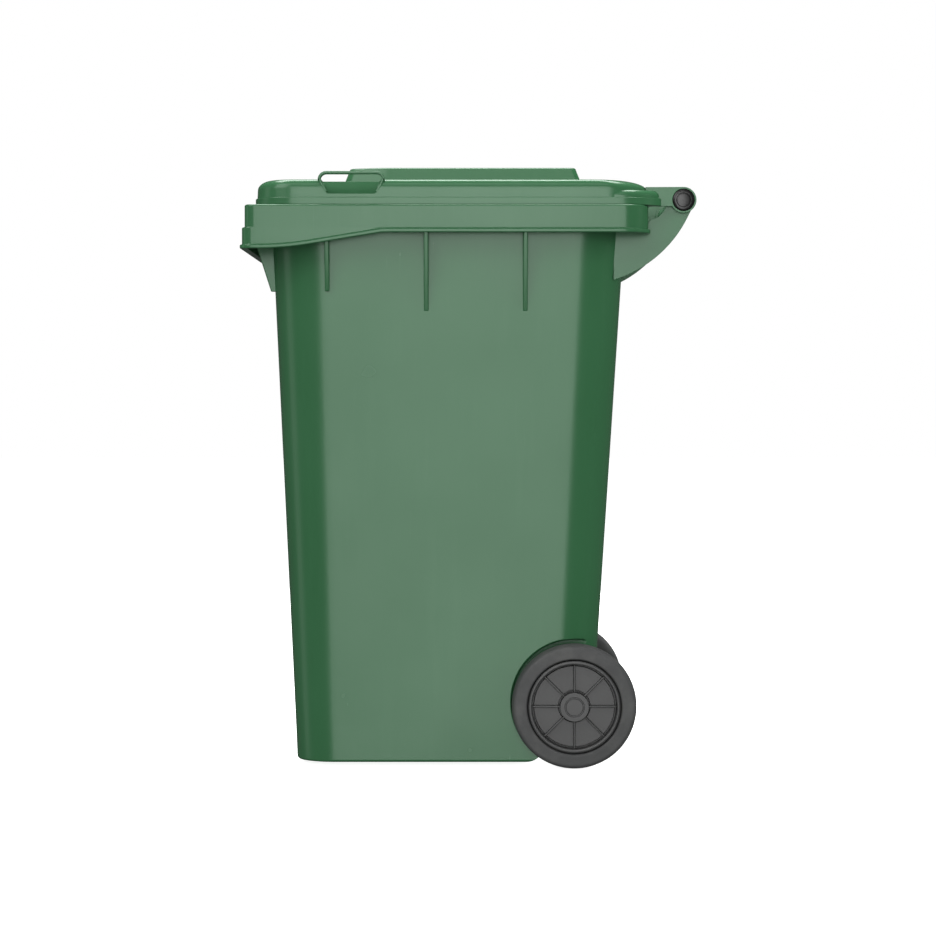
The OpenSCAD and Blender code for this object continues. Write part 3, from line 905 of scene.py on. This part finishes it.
def tyre_profile():
    """Half-section of a tyre: radius and place across the wheel, from its inner side."""
    mid, half, depth, steps = 28, 26, 13, 14
    crown = []
    for i in range(-steps, steps + 1):
        a = math.radians(90 * i / steps)
        crown.append((tyre_r - depth + depth * max(math.cos(a), 0) ** 0.5, mid + half * math.sin(a)))
    lip = [(rim_r + 9, 54.2), (rim_r + 7, 54.8), (rim_r + 3, 54.6), (rim_r + 1.2, 53),
           (rim_r + 0.6, 48), (rim_r, 44)]
    seat = [(rim_r - 3, 42), (rim_r - 3, 14), (rim_r, 12), (rim_r, 7.5), (rim_r + 1.5, 3.2)]
    return crown + lip + seat


def wheel_profile():
    """Half-section of the wheel's web and rim. A moat runs round the hub and inside the rim."""
    face, back, moat = 33, 26, 28
    hub = [(hub_r - 0.5, moat), (hub_r + 2.4, moat), (hub_r + 3.2, face)]
    lip = [(73.6, face), (74.6, moat), (76.9, moat), (77.3, 49.6), (77.9, 50.7), (79, 51.2),
           (80.6, 51.4), (83, 51.2), (84.2, 50.6), (84.8, 49.4), (85, 46)]
    seat = [(rim_r - 0.3, 45.6), (rim_r - 0.2, 44), (rim_r - 3.1, 42), (rim_r - 3.1, 14),
            (rim_r - 0.2, 12), (rim_r - 0.2, 7.5), (rim_r - 4, 6)]
    return [*hub, *lip, *seat, (78, 6), (77, 8), (76.6, back - 3), (74, back), (hub_r - 0.5, back)]


def tube_profile(outer, inner, low, high, edge):
    rounding = [(outer - edge + edge * c, high - edge + edge * s) for s, c in arc(4)]
    return [(outer, low), *rounding, (inner, high), (inner, low)]


def wheel_rib(i, count, start):
    t = 3.6
    outline = [(hub_r - 2, 16), (hub_r - 2, 42), (77.4, 41), (77.4, 12), (60, 16)]
    rib = prism(f"rib{i}", outline, -t / 2, t / 2, lambda u, v, w: (start + v, w, u))
    rib = bevel(rib, 1.1, 3, 50)
    turn = Matrix.Rotation(2 * math.pi * i / count, 4, "X")
    rib.data.transform(Matrix.Translation(Vector((0, axle_y, axle_z)) * MM) @ turn)
    return rib


def make_wheel(side, disc_material, tyre_material):
    """The near wheel is built from the frame, and the far one is its mirror image."""
    start = wheel_low.x - hub_start
    parts = [turned("rim", wheel_profile(), start, AXLE, 160),
             turned("hub", tube_profile(hub_r, 18.2, hub_start, 55, 0.8), start, AXLE),
             turned("bore", tube_profile(18.4, axle_bore, hub_start, 46, 0.3), start, AXLE)]
    parts += [wheel_rib(i, 8, start) for i in range(8)]
    disc = join("disc", parts)
    cap = turned("cap", cap_profile(), start, AXLE)
    tyre = turned("tyre", tyre_profile(), start, AXLE, 192)
    for piece, node, material in ((disc, "wheel", disc_material), (cap, "hub_cap", disc_material),
                                  (tyre, "tyre", tyre_material)):
        piece = on_side(piece, side)
        piece.name = f"{node}_{side}_look"
        smooth(piece, 34)
        piece.data.materials.append(material)
        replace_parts(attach(piece, f"wheel_{side}"), f"{node}_{side}")


def cap_profile():
    """A flat cap in the hub's mouth, with a ring of a groove in its face."""
    groove = [(16.2, 54.6), (15.9, 54), (15.3, 54), (15, 54.6)]
    return [(18, 47), (18, 54.2), (17.7, 54.6), *groove, (pinhole, 54.6), (pinhole, 47)]


# ---- hinge pins ----


def pin_profile():
    """Half-section of the hinge pin's rounded head, with a seat for its cap."""
    crown = [(head_r - 6.6 * (1 - c), 1.0 + 3.4 * s) for s, c in arc(8)]
    seat = [(13.4, 4.2), (13.4, 2.6), (pinhole, 2.6), (pinhole, 0)]
    return [(10, 0), (20, 0), (head_r, 0.6)] + crown + seat


def dome_profile():
    """Half-section of the cap in the hinge pin's head."""
    crown = [(13.3 * c + pinhole * (1 - c), 2.1 + 1.2 * s) for s, c in arc(10)]
    return [(13.2, 0.3)] + crown + [(pinhole, 0.3)]


def make_pin_heads(material):
    head_x = arm_x + arm_t - head_seat + 1.2
    for side in SIDES:
        head = turned("head", pin_profile(), head_x, HINGE, 72)
        shaft = rod(HINGE, [(pin_low.x, 9), (pin_low.x + 1, 10), (head_x + 1, 10)])
        pin = join("pin", [head, shaft])
        cap = turned("cap", dome_profile(), head_x + 2.2, HINGE, 72)
        for piece, node in ((pin, "hinge_pin"), (cap, "hinge_cap")):
            piece = on_side(piece, side)
            piece.name = f"{node}_{side}_look"
            smooth(piece, 40)
            piece.data.materials.append(material)
            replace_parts(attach(piece, "bin"), f"{node}_{side}")


def make_handle_bar(material):
    """The bar that the hands pull: a tube with a collar at each end and a slight waist beside it."""
    end = bar_high.x
    half = [(17, 0.9), (17, 7), (16.4, 8.2), (15.9, 11), (15.9, 34), (16.3, 42), (16.3, end)]
    outer = [(16.1, 0), *half] + [(r, 2 * end - x) for r, x in half[-2::-1]] + [(16.1, 2 * end)]
    bar = turned("handle_bar_look", outer + [(pin_bore, 2 * end), (pin_bore, 0)], -end, HINGE, 72)
    smooth(bar, 34)
    bar.data.materials.append(material)
    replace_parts(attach(bar, "bin"), "handle_bar")
    return bar


# ---- the whole bin ----

make_camera()
make_floor()
make_world()
make_lights()
GREEN_SHEEN = (0.76, 0.90, 0.80)
body_green = moulded_plastic("body_plastic", (0.029, 0.108, 0.045), (0.033, 0.118, 0.051),
                             (0.05, 0.145, 0.072), 0.25, GREEN_SHEEN)
lid_green = moulded_plastic("lid_plastic", (0.032, 0.116, 0.049), (0.036, 0.126, 0.055),
                            (0.055, 0.15, 0.078), 0.24, GREEN_SHEEN)
wheel_grey = moulded_plastic("wheel_plastic", (0.031, 0.031, 0.031), (0.037, 0.037, 0.037),
                             (0.055, 0.055, 0.055), 0.36)
pin_black = moulded_plastic("pin_plastic", (0.006, 0.006, 0.006), (0.009, 0.009, 0.009),
                            (0.02, 0.02, 0.02), 0.28)
tyre_rubber = rubber("tyre_rubber")
steel = zinc_steel("zinc_steel")
SLOTS = {"body_green": body_green, "lid_green": lid_green, "wheel_grey": wheel_grey,
         "tyre_grey": tyre_rubber, "pin_black": pin_black, "steel": steel}

for part in frame["record"]["subparts"]:
    node = frame["nodes"][part["node"]]
    node.data.materials.clear()
    node.data.materials.append(SLOTS[part["material_slot"]])
    for face in node.data.polygons:
        face.use_smooth = True
    node.data.set_sharp_from_angle(angle=math.radians(30))

make_tub(body_green)
make_lid(lid_green)
for wheel_side in SIDES:
    make_wheel(wheel_side, wheel_grey, tyre_rubber)
make_pin_heads(pin_black)
make_handle_bar(body_green)
